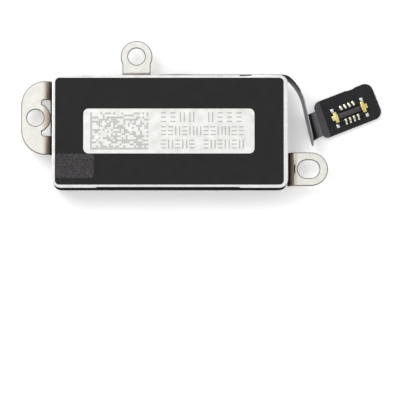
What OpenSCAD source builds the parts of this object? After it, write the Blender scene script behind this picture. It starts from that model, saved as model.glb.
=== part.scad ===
// Linear haptic actuator for a hand-held device: a steel case with three
// mounting ears, a sprung magnet mass inside that slides along X, and a
// flexible printed tail that ends in a board-to-board connector head.
// Origin: centre of the front label's outer face. +Z points to the cover,
// +X along the case towards the tail, +Y to the side the tail leaves from.

/* [Case] */
// Length of the drawn tray along X
case_l = 21.4; // [21:0.1:22]
// Width of the drawn tray along Y
case_w = 10.25; // [9.9:0.05:10.5]
// Height from the front label to the identity plate
total_h = 3.4; // [3.35:0.05:3.8]
// Sheet thickness of the tray
tray_t = 0.25; // [0.2:0.01:0.27]
// Radius of the tray's bottom edges
edge_r = 0.5; // [0.35:0.05:0.6]
// Radius of the case's upright corners
corner_r = 0.8; // [0.65:0.05:1]
// Thickness of the cover plate
cover_t = 0.22; // [0.18:0.01:0.26]
// How far the cover reaches past the tray all round
cover_lip = 0.05; // [0.02:0.01:0.08]

/* [Labels] */
// Thickness of each adhesive label
label_t = 0.08; // [0.06:0.01:0.1]
// Thickness of the identity plate and of the rough patch
plate_t = 0.04; // [0.02:0.01:0.06]
// Length of the back label
back_label_l = 20.84; // [20:0.02:21]
// Width of the back label
back_label_w = 9.8; // [9.2:0.05:9.8]
// Length of the front label
front_label_l = 20.2; // [19.6:0.1:20.3]
// Width of the front label
front_label_w = 8.6; // [8:0.1:8.8]
// Length of the identity plate
id_l = 15.6; // [14:0.1:16]
// Width of the identity plate
id_w = 4.12; // [3.6:0.02:4.2]

/* [Ears] */
// Sheet thickness of the ears
ear_t = 0.25; // [0.2:0.01:0.3]
// Height of the ears' upper face
ear_top = 1.75; // [1.6:0.05:1.9]
// Radius of the round screw holes
hole_r = 0.77; // [0.65:0.01:0.85]
// Half width of the slotted screw hole
slot_r = 0.83; // [0.75:0.01:0.95]
// Extra length of the slotted screw hole
slot_extra = 0.35; // [0.1:0.05:0.4]

/* [Moving mass] */
// Length of the mass along X
mass_l = 14.8; // [14.4:0.1:15]
// Width of the mass along Y
mass_w = 8.6; // [8.3:0.1:8.7]
// Free gap between the mass and each coil
air_gap = 0.14; // [0.12:0.01:0.2]
// Free travel each way before the mass meets its stops
travel = 0.6; // [0.4:0.05:0.65]
// Thickness of the leaf springs
spring_t = 0.2; // [0.15:0.01:0.22]
// Height of the leaf springs
spring_h = 1.5; // [1.2:0.1:1.6]

/* [Coils] */
// Length of a coil over its turns
coil_l = 7.8; // [7:0.1:8]
// Width of a coil over its turns
coil_w = 8.2; // [7.6:0.1:8.2]
// Width of the winding
coil_band = 2; // [1.6:0.1:2.1]
// Thickness of the winding
coil_t = 0.32; // [0.25:0.01:0.34]

/* [Tail] */
// Thickness of the flexible circuit
flex_t = 0.12; // [0.1:0.01:0.12]
// Width of the tail, which stands on edge
flex_w = 1.7; // [1.5:0.1:1.7]
// Turn of the connector head seen from the cover side
head_turn = 21.5; // [18:0.5:24]
// Length of the connector head
head_l = 5.65; // [5.5:0.05:5.8]
// Width of the connector head
head_w = 3.45; // [3.4:0.05:3.6]
// Thickness of the stiffener under the head
stiffener_t = 0.15; // [0.1:0.01:0.2]
// Distance between neighbouring signal contacts
contact_pitch = 0.4; // [0.35:0.01:0.42]

/* [Hidden] */
$fn = 48;

STEEL = [0.66, 0.64, 0.67];
BRIGHT = [0.9, 0.89, 0.87];
BLACK = [0.15, 0.15, 0.16];
COPPER = [0.75, 0.42, 0.2];
SILVER = [0.82, 0.82, 0.84];
GOLD = [0.88, 0.78, 0.42];

// Heights in the case, from the front label upwards
floor_z = label_t + tray_t;
id_z = total_h - plate_t;
back_label_z = id_z - label_t;
cover_z = back_label_z - cover_t;
wall_x = case_l / 2;
wall_y = case_w / 2;
front_label_c = [-0.2, -0.05];
back_label_c = [-0.06, 0];
id_c = [-0.1, 0];
patch_c = [-8.66, -3.2];
patch_size = [3.5, 2.25];
label_r = 0.4;
id_r = 0.48;
patch_r = 0.3;
in_x = wall_x - tray_t;
in_y = wall_y - tray_t;

// Cover edge: a small step all round, a shallow recess along the south
// side and a notch in the north side
edge_step = 0.07;
recess_x = [-6.7, 6.35];
recess_d = 0.07;
notch_x = [6.35, 7.45];
notch_d = 0.1;

// Screw holes of the three ears and the ears' outlines
north_hole = [-3.07, 7.06];
west_hole = [-12.3, 1.42];
east_hole = [12.64, -3.3];
east_end_x = 12.88;
narrow_bend = 0.5;
wide_bend = 0.75;
leg_foot_z = 0.62;
north_root_w = 2.56;
north_r = 1.45;
east_r = 1.53;
west_half = 3.4;
bend_trim = 0.02;
west_reach = 2.9;
west_corner_r = 2.25;
west_leg_w = 4.7;
window_half = 1.65;
window_reach = 1.02;
window_r = 0.2;
boss_r = 1.34;
boss_shift = 0.07;
east_leg_w = 2.6;
weld_r = 0.18;
weld_t = 0.03;
weld_z = leg_foot_z + weld_r + 0.01;
narrow_weld = 0.7;
wide_weld = 1.7;

// Coils, internal circuit and sensor
flex_top = floor_z + flex_t;
coil_in_r = 0.5;
upper_coil_z = cover_z - coil_t;
sensor_size = [1.4, 1, 0.28];
slot_gap = 0.02;
tail_x = [-0.7, 1.9];
riser_x = [-4, -2.4];
joint_size = [0.5, 0.22, 0.1];
sheet_margin = 0.2;
lead_gap = 0.04;
joint_y = coil_w / 2 + 0.24;
low_joint_x = [-0.3, 0.9];
high_joint_x = [-3.9, -3.2];

// Sealant: its reach along the wall and in height, how far it laps onto
// the front face, how far it bulges from the wall and bites into it
seal_x = [-1.5, 2.8];
seal_z = [0.02, 2.92];
seal_lap = 0.745;
seal_taper = 0.25;
seal_bulge = 0.32;
seal_bite = 0.05;

// Mass and springs
mass_z = flex_top + coil_t + air_gap;
mass_t = upper_coil_z - air_gap - mass_z;
mass_mid = mass_z + mass_t / 2;
magnet_gap = 0.02;
side_magnet_l = 2.4;
centre_magnet_l = 2.66;
magnet_w = 6.4;
magnet_inset = 0.05;
stop_x = 5;
stop_w = 1.4;
stop_half_h = 0.5;
stop_y = 4.1;
notch_y = stop_y - 0.15;
mass_corner_r = 0.3;
spring_end_y = -3.9;
spring_tab = 1;
spring_far_y = 3.7;
spring_fold_r = 0.4;
clamp_t = 0.22;
clamp_relief = 0.1;

// Tail route seen from above: it runs along the north wall, turns round
// the corner in two bends and ends beside the connector head
tail_gap = 0.01;
tail_drop = 0.11;
tail_y = wall_y + tail_gap + flex_t / 2;
tail_z = cover_z - tail_drop - flex_w;
tail_turn_x = 10.12;
tail_bend_1 = [1.1, 42];
tail_bend_2 = [4.4, 35];
tail_end_l = 3.85;

// Connector head
head_c = [16.27, 2.3];
head_corner_r = 0.75;
head_root_r = [0.5, 0.62];
head_skew = 0.16;
head_margin = 0.13;
dent_u = 0.9;
dent_r = 0.3;
head_z = 0.1;
head_flex_z = head_z + stiffener_t;
board_z = head_flex_z + flex_t;
neck_w = 2.4;
neck_shift = -0.2;
neck_top_w = 2.95;
neck_tip_l = 0.12;
neck_steps = 8;
neck_gap = 0.02;

// Board connector: base, island, two rails with the signal contacts and
// two end blocks with the power contacts
conn_c = [0.06, -0.3];
base_t = 0.1;
base_u = 1.62;
base_v = 0.55;
island_u = 1.04;
island_v = 0.25;
island_top = 0.42;
rail_u = 0.95;
rail_w = 0.24;
rail_top = 0.55;
row_v = 0.55;
end_u = 0.16;
end_v = 0.5;
end_top = 0.48;
contact_w = 0.18;
lobe_drop = 0.12;
contact_t = 0.05;
foot_l = 0.25;
power_u = 1.34;
lobe_l = 0.22;
lobe_v = 0.22;
pad_u = 1.43;
pad_v = 0.75;
pad_size = [0.28, 0.34, 0.06];

// ---------- shared shapes ----------

// Rectangle with round corners, centred
module round_rect(l, w, r) {
  square([l - 2 * r, w], center = true);
  square([l, w - 2 * r], center = true);
  for (x = [-1, 1], y = [-1, 1])
    translate([x * (l / 2 - r), y * (w / 2 - r)]) circle(r = r);
}

module slab(l, w, t, r) {
  linear_extrude(height = t) round_rect(l, w, r);
}

// Box given by its lowest corner and its highest corner
module box(a, b) {
  translate(a) cube(b - a);
}

// Outer shape of the tray: flat front face, rounded edges, open at the top
module tray_solid() {
  hull()
    for (x = [-1, 1], y = [-1, 1])
      translate([x * (wall_x - corner_r), y * (wall_y - corner_r), label_t]) {
        for (a = [0:18:90])
          translate([0, 0, edge_r * (1 - cos(a))])
            cylinder(r = corner_r - edge_r + edge_r * sin(a), h = 0.01, $fn = 40);
        translate([0, 0, cover_z - label_t - 0.01]) cylinder(r = corner_r, h = 0.01, $fn = 40);
      }
}

// Flat strip standing on edge, t thick, along a path seen from above
function unit(v) = v / norm(v);
function left_of(v) = [-v[1], v[0]];
function seg(p, i) = unit(p[min(i + 1, len(p) - 1)] - p[min(i, len(p) - 2)]);
function before(p, i) = unit(p[max(i, 1)] - p[max(i, 1) - 1]);
function side(p, i, d) =
  let (n = left_of(unit(seg(p, i) + before(p, i))))
  p[i] + n * d / (n * left_of(seg(p, i)));
module ribbon(path, t, h) {
  n = len(path);
  linear_extrude(height = h)
    polygon(concat([for (i = [0:n - 1]) side(path, i, t / 2)],
                   [for (i = [n - 1:-1:0]) side(path, i, -t / 2)]));
}

// Points of a right-hand bend that starts at p with heading h
function bend(p, h, r, a, steps) =
  let (c = p + r * [sin(h), -cos(h)])
  [for (i = [0:steps]) c + r * [-sin(h - i * a / steps), cos(h - i * a / steps)]];
function ahead(p, h, d) = p + d * [cos(h), sin(h)];

// ---------- case ----------

module case_tray() {
  color(STEEL) difference() {
    tray_solid();
    translate([0, 0, floor_z])
      slab(2 * in_x, 2 * in_y, total_h, corner_r - tray_t);
    box([tail_x[0] - slot_gap, in_y - 0.3, floor_z - slot_gap],
        [tail_x[1] + slot_gap, wall_y + 1, flex_top + slot_gap]);
  }
}

module cover_outline(inset) {
  difference() {
    round_rect(case_l + 2 * (cover_lip - inset), case_w + 2 * (cover_lip - inset), corner_r);
    translate([recess_x[0], -wall_y - cover_lip - 1])
      square([recess_x[1] - recess_x[0], 1 + recess_d + inset]);
    translate([notch_x[0], wall_y + cover_lip - notch_d - inset])
      square([notch_x[1] - notch_x[0], 1]);
  }
}

module case_cover() {
  color(BRIGHT) {
    translate([0, 0, cover_z]) linear_extrude(height = cover_t - edge_step) cover_outline(0);
    translate([0, 0, cover_z + cover_t - edge_step])
      linear_extrude(height = edge_step) cover_outline(edge_step);
  }
}

module front_label() {
  color(BLACK) translate(front_label_c) slab(front_label_l, front_label_w, label_t, label_r);
}

module back_label() {
  color(BLACK) translate([back_label_c[0], back_label_c[1], back_label_z])
    slab(back_label_l, back_label_w, label_t, label_r);
}

module id_plate() {
  color(BRIGHT) translate([id_c[0], id_c[1], id_z]) slab(id_l, id_w, plate_t, id_r);
}

module ground_patch() {
  color([0.23, 0.22, 0.23]) translate([patch_c[0], patch_c[1], id_z])
    slab(patch_size[0], patch_size[1], plate_t, patch_r);
}

// Quarter ring of sheet, w wide, from the top of a leg to the start of a
// plate. The wall is at x = 0 and the ear reaches out along -X
module bent_sheet(w, bend_r) {
  translate([-bend_r, w / 2, ear_top - bend_r]) rotate([90, 0, 0])
    intersection() {
      difference() {
        cylinder(r = bend_r, h = w);
        translate([0, 0, -1]) cylinder(r = bend_r - ear_t, h = w + 2);
      }
      cube([bend_r + 1, bend_r + 1, w]);
    }
}

module ear_leg(w, bend_r) {
  box([-ear_t, -w / 2, leg_foot_z], [0, w / 2, ear_top - bend_r]);
}

module ear_plate() {
  translate([0, 0, ear_top - ear_t]) linear_extrude(height = ear_t) children();
}

module north_ear() {
  root_y = wall_y + narrow_bend;
  color(BRIGHT) {
    translate([north_hole[0], wall_y, 0]) rotate([0, 0, -90]) {
      ear_leg(north_root_w, narrow_bend);
      bent_sheet(north_root_w, narrow_bend);
    }
    ear_plate() difference() {
      union() {
        translate([north_hole[0] - north_root_w / 2, root_y])
          square([north_root_w, north_hole[1] - root_y]);
        translate(north_hole) circle(r = north_r);
      }
      translate(north_hole) circle(r = hole_r);
    }
  }
}

// Outline of the west ear's plate, with the window beside the bend and the
// round boss that reaches into it
module west_outline() {
  root_x = -wall_x - wide_bend;
  round_x = -wall_x - west_reach + west_corner_r;
  flat_half = west_half - west_corner_r;
  difference() {
    intersection() {
      union() {
        for (y = [-1, 1])
          translate([round_x, west_hole[1] + y * flat_half]) circle(r = west_corner_r);
        translate([-wall_x - west_reach, west_hole[1] - flat_half])
          square([west_reach, 2 * flat_half]);
      }
      translate([root_x - 3, west_hole[1] - 5]) square([3, 10]);
    }
    translate([-wall_x, west_hole[1]])
      round_rect(2 * window_reach, 2 * window_half, window_r);
  }
  translate([west_hole[0] + boss_shift, west_hole[1]]) circle(r = boss_r);
}

module west_ear() {
  bend_z = ear_top - wide_bend;
  color(BRIGHT) {
    translate([-wall_x, west_hole[1], 0]) {
      ear_leg(west_leg_w, wide_bend);
      difference() {
        bent_sheet(2 * (west_half - bend_trim), wide_bend);
        box([-2, -window_half, bend_z - 0.001], [1, window_half, ear_top + 1]);
      }
    }
    ear_plate() difference() {
      west_outline();
      translate(west_hole) circle(r = hole_r);
    }
  }
}

module east_ear() {
  root_x = wall_x + wide_bend;
  color(BRIGHT) {
    translate([wall_x, east_hole[1], 0]) mirror([1, 0, 0]) {
      ear_leg(east_leg_w, wide_bend);
      bent_sheet(2 * east_r, wide_bend);
    }
    ear_plate() difference() {
      union() {
        translate([root_x, east_hole[1] - east_r]) square([east_end_x - root_x, 2 * east_r]);
        translate([east_end_x, east_hole[1]]) circle(r = east_r);
      }
      for (x = [-1, 1])
        translate([east_hole[0] + x * slot_extra / 2, east_hole[1]]) circle(r = slot_r);
      translate([east_hole[0] - slot_extra / 2, east_hole[1] - slot_r])
        square([slot_extra, 2 * slot_r]);
    }
  }
}

// Spot weld marks on the legs' outer faces
module weld() {
  translate([-ear_t, 0, weld_z]) rotate([0, -90, 0]) cylinder(r = weld_r, h = weld_t);
}

module ear_welds() {
  color(STEEL) {
    for (v = [-narrow_weld, narrow_weld]) {
      translate([north_hole[0], wall_y, 0]) rotate([0, 0, -90]) translate([0, v, 0]) weld();
      translate([wall_x, east_hole[1] + v, 0]) mirror([1, 0, 0]) weld();
    }
    for (v = [-wide_weld, 0, wide_weld]) translate([-wall_x, west_hole[1] + v, 0]) weld();
  }
}

// Sealant where the tail leaves the case: a bulge on the wall that wraps
// round the tray's edge onto the front face
module cable_sealant() {
  mid = (seal_x[0] + seal_x[1]) / 2;
  half = (seal_x[1] - seal_x[0]) / 2;
  root_y = wall_y - seal_bite;
  color(BLACK) difference() {
    translate([0, 0, seal_z[0]]) linear_extrude(height = seal_z[1] - seal_z[0])
      polygon(concat([[seal_x[1] - seal_taper, wall_y - seal_lap],
                      [seal_x[0] + seal_taper, wall_y - seal_lap]],
        [for (a = [180:-12:0])
          [mid + half * cos(a), root_y + (seal_bulge + seal_bite) * sin(a)]]));
    tray_solid();
    flex_tail_solid();
  }
}

// ---------- flexible circuit ----------

function tail_path() =
  let (a = [tail_turn_x, tail_y],
       b1 = bend(a, 0, tail_bend_1[0], tail_bend_1[1], 6),
       h1 = -tail_bend_1[1],
       b2 = bend(b1[len(b1) - 1], h1, tail_bend_2[0], tail_bend_2[1], 10),
       h2 = h1 - tail_bend_2[1],
       e = b2[len(b2) - 1])
  concat([[tail_x[1], tail_y]], b1, [for (i = [1:len(b2) - 1]) b2[i]], [ahead(e, h2, tail_end_l)]);

module flex_tail_solid() {
  out_y = tail_y + flex_t / 2;
  box([tail_x[0], in_y, floor_z], [tail_x[1], out_y, flex_top]);
  box([tail_x[0], tail_y - flex_t / 2, flex_top], [tail_x[1], out_y, tail_z + flex_w]);
  translate([0, 0, tail_z]) ribbon(tail_path(), flex_t, flex_w);
}

module flex_tail() {
  color(BLACK) flex_tail_solid();
}

// Head frame: u along the connector head, v across it
module in_head() {
  translate([head_c[0], head_c[1], 0]) rotate([0, 0, head_turn]) children();
}
function head_point(u, v) =
  head_c + [u * cos(head_turn) - v * sin(head_turn), u * sin(head_turn) + v * cos(head_turn)];

// The neck folds the tail's lower edge outwards into the plane of the head
function neck_edge(s) =
  let (p = tail_path(), n = len(p),
       tip = p[n - 1], d = unit(p[n - 1] - p[n - 2]),
       a = tip - d * (neck_tip_l + (s > 0 ? neck_top_w : 0)),
       v = neck_shift + s * neck_w / 2,
       b = head_point(-head_l / 2 - head_skew * (0.5 - v / head_w) - neck_gap, v))
  [a, b];
function neck_point(s, k, side) =
  let (e = neck_edge(s), g = 90 * k / neck_steps,
       drop = tail_z - head_flex_z - flex_t / 2,
       q = e[0] + (e[1] - e[0]) * (1 - cos(g)),
       out = [cos(head_turn), sin(head_turn)] * cos(g) * side * flex_t / 2)
  [q[0] + out[0], q[1] + out[1], tail_z - drop * sin(g) + sin(g) * side * flex_t / 2];

module flex_neck() {
  n = neck_steps;
  points = [for (k = [0:n]) for (c = [[-1, -1], [1, -1], [1, 1], [-1, 1]]) neck_point(c[0], k, c[1])];
  sides = [for (k = [0:n - 1]) for (j = [0:3])
    let (a = 4 * k + j, b = 4 * k + (j + 1) % 4, c = b + 4, d = a + 4)
    each [[a, b, c], [a, c, d]]];
  ends = [[0, 3, 2], [0, 2, 1], [4 * n, 4 * n + 1, 4 * n + 2], [4 * n, 4 * n + 2, 4 * n + 3]];
  color(BLACK) polyhedron(points = points, faces = concat(sides, ends));
}

module internal_flex() {
  half_x = coil_l / 2 + sheet_margin;
  half_y = coil_w / 2 + sheet_margin;
  color([0.35, 0.25, 0.12]) {
    box([-half_x, -half_y, floor_z], [half_x, half_y, flex_top]);
    box([tail_x[0], half_y, floor_z], [tail_x[1], in_y, flex_top]);
    box([riser_x[0], half_y, floor_z], [riser_x[1], in_y, flex_top]);
    box([riser_x[0], in_y - flex_t, flex_top], [riser_x[1], in_y, cover_z]);
    box([riser_x[0], coil_w / 2 + lead_gap, cover_z - flex_t],
        [riser_x[1], in_y - flex_t, cover_z]);
  }
}

module coil(z) {
  color(COPPER) translate([0, 0, z]) linear_extrude(height = coil_t) difference() {
    round_rect(coil_l, coil_w, coil_in_r + coil_band);
    round_rect(coil_l - 2 * coil_band, coil_w - 2 * coil_band, coil_in_r);
  }
}

module lower_coil() { coil(flex_top); }
module upper_coil() { coil(upper_coil_z); }

module solder_joint(x, z) {
  translate([x, joint_y, z]) cube(joint_size);
}

module solder_joints() {
  color(SILVER) {
    for (x = low_joint_x) solder_joint(x, flex_top);
    for (x = high_joint_x) solder_joint(x, cover_z - flex_t - joint_size[2]);
  }
}

module position_sensor() {
  color([0.1, 0.1, 0.1]) translate([0, 0, flex_top])
    box([-sensor_size[0] / 2, -sensor_size[1] / 2, 0],
        [sensor_size[0] / 2, sensor_size[1] / 2, sensor_size[2]]);
}

// ---------- moving mass and its springs ----------

module travel_stops() {
  color(STEEL) for (x = [-stop_x, stop_x], y = [-1, 1]) {
    low = y > 0 ? stop_y : -in_y;
    box([x - stop_w / 2, low, mass_mid - stop_half_h],
        [x + stop_w / 2, low + in_y - stop_y, mass_mid + stop_half_h]);
  }
}

module mass_frame() {
  window_l = 2 * side_magnet_l + centre_magnet_l + 4 * magnet_gap;
  color([0.42, 0.42, 0.43]) translate([0, 0, mass_z]) difference() {
    slab(mass_l, mass_w, mass_t, mass_corner_r);
    box([-window_l / 2, -magnet_w / 2 - magnet_gap, -1],
        [window_l / 2, magnet_w / 2 + magnet_gap, mass_t + 1]);
    for (x = [-stop_x, stop_x], y = [-1, 1])
      box([x - stop_w / 2 - travel, y > 0 ? notch_y : -mass_w, -1],
          [x + stop_w / 2 + travel, y > 0 ? mass_w : -notch_y, mass_t + 1]);
  }
}

module magnet(x, l) {
  color([0.55, 0.55, 0.57])
    box([x - l / 2, -magnet_w / 2, mass_z + magnet_inset],
        [x + l / 2, magnet_w / 2, mass_z + mass_t - magnet_inset]);
}
side_magnet_x = (centre_magnet_l + side_magnet_l) / 2 + magnet_gap;
module left_magnet() { magnet(-side_magnet_x, side_magnet_l); }
module centre_magnet() { magnet(0, centre_magnet_l); }
module right_magnet() { magnet(side_magnet_x, side_magnet_l); }

// V-shaped leaf: a tab on the mass, an arm across the case, a round fold,
// an arm back and a tab on the end wall
module spring() {
  mass_x = mass_l / 2 + spring_t / 2;
  case_x = in_x - spring_t / 2;
  mid_x = (mass_x + case_x) / 2;
  tab_y = spring_end_y + spring_tab;
  path = concat([[mass_x, spring_end_y], [mass_x, tab_y]],
    [for (a = [180:-20:0])
      [mid_x + spring_fold_r * cos(a), spring_far_y - spring_fold_r * (1 - sin(a))]],
    [[case_x, tab_y], [case_x, spring_end_y]]);
  color(SILVER) translate([0, 0, mass_mid - spring_h / 2]) ribbon(path, spring_t, spring_h);
}

module right_spring() { spring(); }
module left_spring() { rotate([0, 0, 180]) spring(); }

// Clamp plate over a spring's tab, on both springs; x is its lower face
module clamps(x) {
  color(STEEL) for (turn = [0, 180]) rotate([0, 0, turn])
    box([x, spring_end_y, mass_mid - spring_h / 2],
        [x + clamp_t, spring_end_y + spring_tab - clamp_relief, mass_mid + spring_h / 2]);
}
module mass_spring_clamps() { clamps(mass_l / 2 + spring_t); }
module case_spring_clamps() { clamps(in_x - spring_t - clamp_t); }

// ---------- connector head ----------

// The head's corners in turn, each [u, v, radius]; the neck's end is skewed
function head_corners(inset) =
  let (l = head_l / 2 - inset, w = head_w / 2 - inset, r = head_corner_r - inset,
       low = head_root_r[0] - inset, high = head_root_r[1] - inset)
  [[l - r, -w + r, r], [l - r, w - r, r], [-l + high, w - high, high],
   [-l - head_skew + low, -w + low, low]];

// Points where the straight edge between two corners leaves and arrives
function edge_between(a, b) =
  let (d = [b[0] - a[0], b[1] - a[1]],
       g = atan2(d[1], d[0]) - acos((a[2] - b[2]) / norm(d)),
       n = [cos(g), sin(g)])
  [[a[0], a[1]] + a[2] * n, [b[0], b[1]] + b[2] * n];

module head_outline(inset) {
  corners = head_corners(inset);
  difference() {
    union() {
      polygon([for (i = [0:3]) each edge_between(corners[i], corners[(i + 1) % 4])]);
      for (c = corners) translate([c[0], c[1]]) circle(r = c[2]);
    }
    translate([dent_u, head_w / 2 - inset + dent_r * 0.75]) circle(r = dent_r);
  }
}

module head_flex() {
  color(BLACK) in_head() translate([0, 0, head_flex_z])
    linear_extrude(height = flex_t) head_outline(0);
}

module head_stiffener() {
  color([0.93, 0.92, 0.88]) in_head() translate([0, 0, head_z])
    linear_extrude(height = stiffener_t) head_outline(head_margin);
}

module on_board() {
  in_head() translate([conn_c[0], conn_c[1], board_z]) children();
}

module connector_housing() {
  color([0.09, 0.09, 0.1]) on_board() {
    box([-base_u, -base_v, 0], [base_u, base_v, base_t]);
    box([-rail_u, -row_v - rail_w / 2, 0], [rail_u, row_v + rail_w / 2, base_t]);
    box([-island_u, -island_v, base_t], [island_u, island_v, island_top]);
    for (v = [-1, 1])
      box([-rail_u, v * row_v - rail_w / 2, base_t], [rail_u, v * row_v + rail_w / 2, rail_top]);
    for (u = [-1, 1])
      box([u * power_u - end_u, -end_v, base_t], [u * power_u + end_u, end_v, end_top]);
  }
}

// Each signal contact bends over the housing's rail and down to the board
module signal_contacts() {
  reach = row_v + rail_w / 2;
  color(SILVER) on_board()
    for (i = [0:3], turn = [0, 180]) rotate([0, 0, turn])
      translate([(i - 1.5) * contact_pitch - contact_w / 2, 0, 0]) {
        box([0, row_v - rail_w / 2, rail_top], [contact_w, reach + contact_t, rail_top + contact_t]);
        box([0, reach, contact_t], [contact_w, reach + contact_t, rail_top]);
        box([0, reach, 0], [contact_w, reach + foot_l, contact_t]);
      }
}

// Power contacts: a saddle over each end block with a tab at either side
module power_contacts() {
  top = end_top + contact_t;
  color(GOLD) on_board()
    for (turn = [0, 180]) rotate([0, 0, turn]) translate([power_u, 0, 0]) {
      box([-end_u, -end_v, end_top], [end_u, end_v, top]);
      box([end_u, -lobe_v, end_top - lobe_drop], [end_u + lobe_l, lobe_v, top]);
      box([-end_u - contact_t, -lobe_v, end_top - lobe_drop], [-end_u, lobe_v, top]);
    }
}

module corner_pads() {
  color(SILVER) on_board()
    for (u = [-1, 1], v = [-1, 1])
      translate([u * pad_u - pad_size[0] / 2, v * pad_v - pad_size[1] / 2, 0]) cube(pad_size);
}

case_tray();
case_cover();
front_label();
back_label();
id_plate();
ground_patch();
north_ear();
west_ear();
east_ear();
ear_welds();
cable_sealant();
flex_tail();
flex_neck();
internal_flex();
lower_coil();
upper_coil();
solder_joints();
position_sensor();
travel_stops();
case_spring_clamps();
left_spring();
right_spring();
mass_frame();
left_magnet();
centre_magnet();
right_magnet();
mass_spring_clamps();
head_flex();
head_stiffener();
connector_housing();
signal_contacts();
power_contacts();
corner_pads();
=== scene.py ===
"""Looks of the flat linear vibration actuator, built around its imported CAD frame."""
import math
import random

import bmesh
import bpy
from mathutils import Matrix, Vector, noise


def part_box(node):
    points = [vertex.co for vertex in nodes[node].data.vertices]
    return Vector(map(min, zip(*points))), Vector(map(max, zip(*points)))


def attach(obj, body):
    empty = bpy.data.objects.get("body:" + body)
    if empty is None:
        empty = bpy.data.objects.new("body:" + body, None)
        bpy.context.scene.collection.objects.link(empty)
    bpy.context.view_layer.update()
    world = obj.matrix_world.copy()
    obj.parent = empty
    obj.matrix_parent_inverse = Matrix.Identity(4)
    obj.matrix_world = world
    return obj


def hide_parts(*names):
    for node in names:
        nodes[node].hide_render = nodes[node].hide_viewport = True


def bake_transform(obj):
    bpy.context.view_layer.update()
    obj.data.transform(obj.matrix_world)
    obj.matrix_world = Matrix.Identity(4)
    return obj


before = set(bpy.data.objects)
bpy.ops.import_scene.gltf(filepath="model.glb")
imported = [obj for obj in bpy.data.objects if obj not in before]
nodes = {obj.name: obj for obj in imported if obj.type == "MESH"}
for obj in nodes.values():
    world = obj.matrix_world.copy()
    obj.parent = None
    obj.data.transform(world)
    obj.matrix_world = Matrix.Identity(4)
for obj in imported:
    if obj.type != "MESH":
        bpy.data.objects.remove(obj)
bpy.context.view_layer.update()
MM = 0.001
CASE, MASS, HEAD = "case", "moving_mass", "connector_head"
SEED = 7
rng = random.Random(SEED)


# ---------------------------------------------------------------- camera
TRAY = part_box("case_tray")
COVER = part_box("case_cover")
SENSOR = 36.0
LENS = 600.0
CLIP_START, CLIP_END = 0.01, 5
VIEW_W = 36.44 * MM  # width of the view at the cover
ELEVATION = math.radians(83)
OFFSET = (-2.733 * MM, 6.272 * MM)  # the body's place in the frame, from its centre


def make_camera():
    """A long lens above the cover side, tipped towards the south wall."""
    body = Vector((0, 0, COVER[1].z))
    distance = VIEW_W / 2 / (SENSOR / 2 / LENS)
    off_x, off_y = OFFSET
    line = math.pi / 2 - ELEVATION
    pitch = line - math.asin(off_y / distance)
    data = bpy.data.cameras.new("camera")
    data.lens = LENS
    data.sensor_width = SENSOR
    data.clip_start = CLIP_START
    data.clip_end = CLIP_END
    cam = bpy.data.objects.new("camera", data)
    bpy.context.scene.collection.objects.link(cam)
    cam.location = body + Vector((-off_x, -distance * math.sin(line), distance * math.cos(line)))
    cam.rotation_euler = (pitch, 0, 0)
    bpy.context.scene.camera = cam


# ---------------------------------------------------------------- materials
TONE_SPAN = (0.35, 0.65)  # the span of a noise that runs from one tone to the other
ROUGH_SPAN = (0.3, 0.7)  # the span of a noise that drives the roughness
MIX_FACTOR, MIX_A, MIX_B, MIX_RESULT = 0, 6, 7, 2  # the colour sockets of the Mix node


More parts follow.
